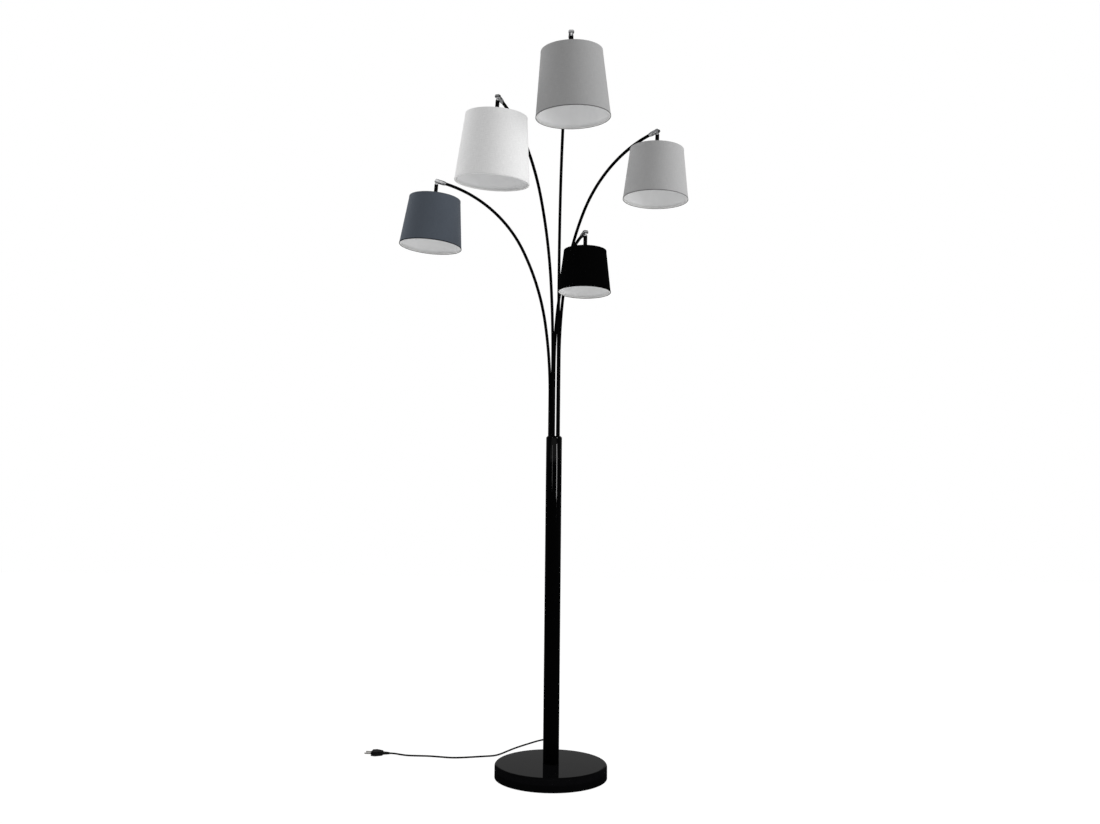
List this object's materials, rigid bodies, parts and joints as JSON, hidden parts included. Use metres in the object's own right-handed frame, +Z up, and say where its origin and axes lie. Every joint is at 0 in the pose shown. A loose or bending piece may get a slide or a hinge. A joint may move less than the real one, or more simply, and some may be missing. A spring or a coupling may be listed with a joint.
{
  "type": "tree floor lamp",
  "caption": "Floor lamp with a round weighted base, a straight column and bent swivelling arms, each with a tilting tapered fabric shade on a chrome knuckle.",
  "frame": {"origin": "centre of the base's underside, on the floor and on the column's axis", "axes": "+Z up along the column, -Y to the side that the lamp is seen from, +X to its right"},
  "size_m": [0.9085, 0.8483, 2.0015],
  "materials": {
    "black_gloss": "gloss",
    "weight_iron": "raw",
    "pad_felt": "matte",
    "plain_steel": "satin",
    "terminal_plastic": "matte",
    "holder_plastic": "matte",
    "cord_black": "satin",
    "chrome": "polished",
    "white_wire": "satin",
    "fabric_slate": "matte",
    "fabric_black": "matte",
    "fabric_light_grey": "matte",
    "fabric_mid_grey": "matte",
    "fabric_white": "matte",
    "bulb_glass": "frosted"
  },
  "bodies": {
    "stand": {"base_cover": "black_gloss", "base_weight": "weight_iron", "base_pad": "pad_felt", "base_stud": "plain_steel", "column_foot": "plain_steel", "column_tube": "black_gloss", "column_cap": "black_gloss", "arm_guide": "plain_steel", "terminal_block": "terminal_plastic", "inner_lead": "cord_black", "cord_gland": "holder_plastic", "cord_coil": "cord_black", "cord_run": "cord_black", "cord_tie": "holder_plastic", "mains_plug": "cord_black"},
    "arm_left": {"arm_tube_left": "black_gloss", "knuckle_fork_left": "chrome", "knuckle_screw_left": "chrome"},
    "head_left": {"knuckle_eye_left": "chrome", "neck_tube_left": "black_gloss", "lamp_holder_left": "holder_plastic", "shade_frame_left": "white_wire", "shade_left": "fabric_slate", "bulb_left": "bulb_glass"},
    "arm_low": {"arm_tube_low": "black_gloss", "knuckle_fork_low": "chrome", "knuckle_screw_low": "chrome"},
    "head_low": {"knuckle_eye_low": "chrome", "neck_tube_low": "black_gloss", "lamp_holder_low": "holder_plastic", "shade_frame_low": "white_wire", "shade_low": "fabric_black", "bulb_low": "bulb_glass"},
    "arm_right": {"arm_tube_right": "black_gloss", "knuckle_fork_right": "chrome", "knuckle_screw_right": "chrome"},
    "head_right": {"knuckle_eye_right": "chrome", "neck_tube_right": "black_gloss", "lamp_holder_right": "holder_plastic", "shade_frame_right": "white_wire", "shade_right": "fabric_light_grey", "bulb_right": "bulb_glass"},
    "arm_top": {"arm_tube_top": "black_gloss", "knuckle_fork_top": "chrome", "knuckle_screw_top": "chrome"},
    "head_top": {"knuckle_eye_top": "chrome", "neck_tube_top": "black_gloss", "lamp_holder_top": "holder_plastic", "shade_frame_top": "white_wire", "shade_top": "fabric_mid_grey", "bulb_top": "bulb_glass"},
    "arm_upper_left": {"arm_tube_upper_left": "black_gloss", "knuckle_fork_upper_left": "chrome", "knuckle_screw_upper_left": "chrome"},
    "head_upper_left": {"knuckle_eye_upper_left": "chrome", "neck_tube_upper_left": "black_gloss", "lamp_holder_upper_left": "holder_plastic", "shade_frame_upper_left": "white_wire", "shade_upper_left": "fabric_white", "bulb_upper_left": "bulb_glass"}
  },
  "joints": [
    {"name": "swivel_left", "type": "hinge", "parent": "stand", "child": "arm_left", "pos_m": [-0.01329, -0.00234, 0.9], "axis": [0, 0, 1], "range_deg": [-45, 10]},
    {"name": "tilt_left", "type": "hinge", "parent": "arm_left", "child": "head_left", "pos_m": [-0.33902, -0.07695, 1.6682], "axis": [-0.2264, 0.9739, -0.0136], "range_deg": [-5, 50]},
    {"name": "swivel_low", "type": "hinge", "parent": "stand", "child": "arm_low", "pos_m": [-0.00188, -0.01337, 0.9], "axis": [0, 0, 1], "range_deg": [-30, 12]},
    {"name": "tilt_low", "type": "hinge", "parent": "arm_low", "child": "head_low", "pos_m": [0.0781, -0.20363, 1.4966], "axis": [-0.9245, -0.3795, 0.0357], "range_deg": [-5, 50]},
    {"name": "swivel_right", "type": "hinge", "parent": "stand", "child": "arm_right", "pos_m": [0.01213, -0.00592, 0.9], "axis": [0, 0, 1], "range_deg": [-12, 50]},
    {"name": "tilt_right", "type": "hinge", "parent": "arm_right", "child": "head_right", "pos_m": [0.26935, -0.22023, 1.771], "axis": [-0.6469, -0.7614, 0.0408], "range_deg": [-5, 50]},
    {"name": "swivel_top", "type": "hinge", "parent": "stand", "child": "arm_top", "pos_m": [0.00938, 0.00971, 0.9], "axis": [0, 0, 1], "range_deg": [-1, 12]},
    {"name": "tilt_top", "type": "hinge", "parent": "arm_top", "child": "head_top", "pos_m": [0.033, -0.32808, 1.9959], "axis": [-0.9965, -0.0773, -0.0323], "range_deg": [-5, 50]},
    {"name": "swivel_upper_left", "type": "hinge", "parent": "stand", "child": "arm_upper_left", "pos_m": [-0.00634, 0.01192, 0.9], "axis": [0, 0, 1], "range_deg": [-14, 1]},
    {"name": "tilt_upper_left", "type": "hinge", "parent": "arm_upper_left", "child": "head_upper_left", "pos_m": [-0.15672, -0.31961, 1.8251], "axis": [-0.9007, 0.428, 0.0747], "range_deg": [-5, 50]}
  ]
}
